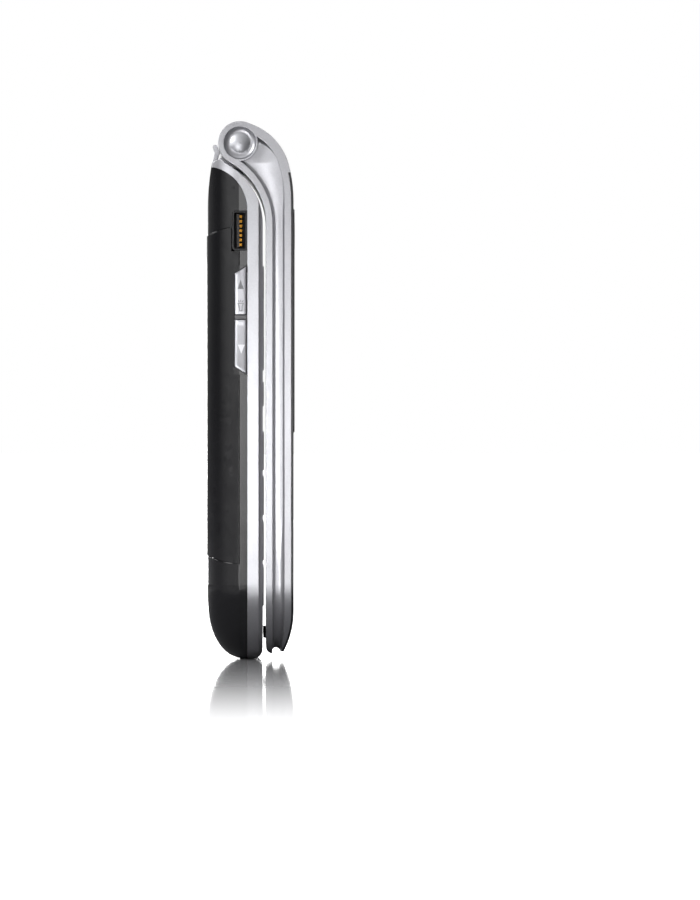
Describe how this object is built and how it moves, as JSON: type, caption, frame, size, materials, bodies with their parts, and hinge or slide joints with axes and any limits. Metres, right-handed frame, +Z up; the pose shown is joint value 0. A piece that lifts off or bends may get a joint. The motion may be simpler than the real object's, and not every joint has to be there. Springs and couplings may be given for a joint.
{
  "type": "flip phone",
  "caption": "Slim clamshell mobile phone with a hinged silver and black lid, side volume keys, side connector, audio jack and a lift-off battery cover.",
  "frame": {"origin": "middle of the bottom end, under the whole closed phone's box", "axes": "+Z up the phone's length to the hinge end, +Y towards the battery side, -Y towards the lid, X across the width"},
  "size_m": [0.0502, 0.0164, 0.1],
  "materials": {
    "battery_wrap": "battery wrap",
    "black_gloss": "gloss moulded",
    "black_matte": "matte",
    "board": "solder mask",
    "display": "display glass",
    "gold": "gold plated",
    "jack_red": "dark red moulding",
    "key_black": "satin black",
    "key_silver": "silver lacquer",
    "rubber": "soft",
    "silver_gloss": "silver lacquer over moulding",
    "steel": "turned",
    "window_black": "polished window"
  },
  "bodies": {
    "base": {"antenna": "board", "audio_jack_contacts": "gold", "audio_jack_housing": "jack_red", "base_frame": "silver_gloss", "battery": "battery_wrap", "battery_contacts": "gold", "board_shields": "steel", "hinge_cable": "board", "hinge_module": "steel", "hinge_sleeve": "steel", "keypad_dome_sheet": "board", "keypad_plate": "black_gloss", "loudspeaker": "black_matte", "main_board": "board", "microphone": "steel", "rear_case": "black_gloss", "side_connector_contacts": "gold", "side_connector_shell": "black_matte", "side_connector_tongue": "black_matte", "side_key_switches": "board", "strap_eye": "silver_gloss", "vibration_motor": "steel"},
    "lid": {"lid_front_housing": "silver_gloss", "lid_inner_housing": "silver_gloss", "lid_panel": "black_gloss", "outer_window": "window_black", "outer_display": "display", "inner_lens": "window_black", "inner_display": "display", "lid_board": "board", "camera_module": "black_matte", "earpiece": "black_matte", "earpiece_grille": "black_matte", "lid_magnet": "steel", "lid_bumpers": "rubber", "lid_screws": "steel", "hinge_caps": "silver_gloss"},
    "digit_key_1_body": {"digit_key_1": "key_black"},
    "digit_key_2_body": {"digit_key_2": "key_black"},
    "digit_key_3_body": {"digit_key_3": "key_black"},
    "digit_key_4_body": {"digit_key_4": "key_black"},
    "digit_key_5_body": {"digit_key_5": "key_black"},
    "digit_key_6_body": {"digit_key_6": "key_black"},
    "digit_key_7_body": {"digit_key_7": "key_black"},
    "digit_key_8_body": {"digit_key_8": "key_black"},
    "digit_key_9_body": {"digit_key_9": "key_black"},
    "digit_key_star_body": {"digit_key_star": "key_black"},
    "digit_key_0_body": {"digit_key_0": "key_black"},
    "digit_key_hash_body": {"digit_key_hash": "key_black"},
    "soft_key_left_body": {"soft_key_left": "key_silver"},
    "soft_key_right_body": {"soft_key_right": "key_silver"},
    "call_key_body": {"call_key": "key_silver"},
    "end_key_body": {"end_key": "key_silver"},
    "clear_key_body": {"clear_key": "key_silver"},
    "nav_ring_body": {"nav_ring": "key_silver"},
    "select_key_body": {"select_key": "key_silver"},
    "volume_up_key_body": {"volume_up_key": "key_silver"},
    "volume_down_key_body": {"volume_down_key": "key_silver"},
    "battery_cover_body": {"battery_cover": "black_gloss"}
  },
  "joints": [
    {"name": "lid_hinge", "type": "hinge", "parent": "base", "child": "lid", "pos_m": [0, 0.002, 0.09595], "axis": [-1, 0, 0], "range_deg": [0, 150]},
    {"name": "digit_key_1_press", "type": "slide", "parent": "base", "child": "digit_key_1_body", "axis": [0, 1, 0], "range_m": [0, 0.00025], "stiffness_N_per_m": 400},
    {"name": "digit_key_2_press", "type": "slide", "parent": "base", "child": "digit_key_2_body", "axis": [0, 1, 0], "range_m": [0, 0.00025], "stiffness_N_per_m": 400},
    {"name": "digit_key_3_press", "type": "slide", "parent": "base", "child": "digit_key_3_body", "axis": [0, 1, 0], "range_m": [0, 0.00025], "stiffness_N_per_m": 400},
    {"name": "digit_key_4_press", "type": "slide", "parent": "base", "child": "digit_key_4_body", "axis": [0, 1, 0], "range_m": [0, 0.00025], "stiffness_N_per_m": 400},
    {"name": "digit_key_5_press", "type": "slide", "parent": "base", "child": "digit_key_5_body", "axis": [0, 1, 0], "range_m": [0, 0.00025], "stiffness_N_per_m": 400},
    {"name": "digit_key_6_press", "type": "slide", "parent": "base", "child": "digit_key_6_body", "axis": [0, 1, 0], "range_m": [0, 0.00025], "stiffness_N_per_m": 400},
    {"name": "digit_key_7_press", "type": "slide", "parent": "base", "child": "digit_key_7_body", "axis": [0, 1, 0], "range_m": [0, 0.00025], "stiffness_N_per_m": 400},
    {"name": "digit_key_8_press", "type": "slide", "parent": "base", "child": "digit_key_8_body", "axis": [0, 1, 0], "range_m": [0, 0.00025], "stiffness_N_per_m": 400},
    {"name": "digit_key_9_press", "type": "slide", "parent": "base", "child": "digit_key_9_body", "axis": [0, 1, 0], "range_m": [0, 0.00025], "stiffness_N_per_m": 400},
    {"name": "digit_key_star_press", "type": "slide", "parent": "base", "child": "digit_key_star_body", "axis": [0, 1, 0], "range_m": [0, 0.00025], "stiffness_N_per_m": 400},
    {"name": "digit_key_0_press", "type": "slide", "parent": "base", "child": "digit_key_0_body", "axis": [0, 1, 0], "range_m": [0, 0.00025], "stiffness_N_per_m": 400},
    {"name": "digit_key_hash_press", "type": "slide", "parent": "base", "child": "digit_key_hash_body", "axis": [0, 1, 0], "range_m": [0, 0.00025], "stiffness_N_per_m": 400},
    {"name": "soft_key_left_press", "type": "slide", "parent": "base", "child": "soft_key_left_body", "axis": [0, 1, 0], "range_m": [0, 0.00025], "stiffness_N_per_m": 400},
    {"name": "soft_key_right_press", "type": "slide", "parent": "base", "child": "soft_key_right_body", "axis": [0, 1, 0], "range_m": [0, 0.00025], "stiffness_N_per_m": 400},
    {"name": "call_key_press", "type": "slide", "parent": "base", "child": "call_key_body", "axis": [0, 1, 0], "range_m": [0, 0.00025], "stiffness_N_per_m": 400},
    {"name": "end_key_press", "type": "slide", "parent": "base", "child": "end_key_body", "axis": [0, 1, 0], "range_m": [0, 0.00025], "stiffness_N_per_m": 400},
    {"name": "clear_key_press", "type": "slide", "parent": "base", "child": "clear_key_body", "axis": [0, 1, 0], "range_m": [0, 0.00025], "stiffness_N_per_m": 400},
    {"name": "nav_ring_press", "type": "slide", "parent": "base", "child": "nav_ring_body", "axis": [0, 1, 0], "range_m": [0, 0.00025], "stiffness_N_per_m": 400},
    {"name": "select_key_press", "type": "slide", "parent": "base", "child": "select_key_body", "axis": [0, 1, 0], "range_m": [0, 0.00025], "stiffness_N_per_m": 400},
    {"name": "volume_up_key_press", "type": "slide", "parent": "base", "child": "volume_up_key_body", "axis": [1, 0, 0], "range_m": [0, 0.00025], "stiffness_N_per_m": 400},
    {"name": "volume_down_key_press", "type": "slide", "parent": "base", "child": "volume_down_key_body", "axis": [1, 0, 0], "range_m": [0, 0.00025], "stiffness_N_per_m": 400},
    {"name": "battery_cover_removal", "type": "slide", "parent": "base", "child": "battery_cover_body", "axis": [0, 1, 0], "range_m": [0, 0.02]}
  ]
}
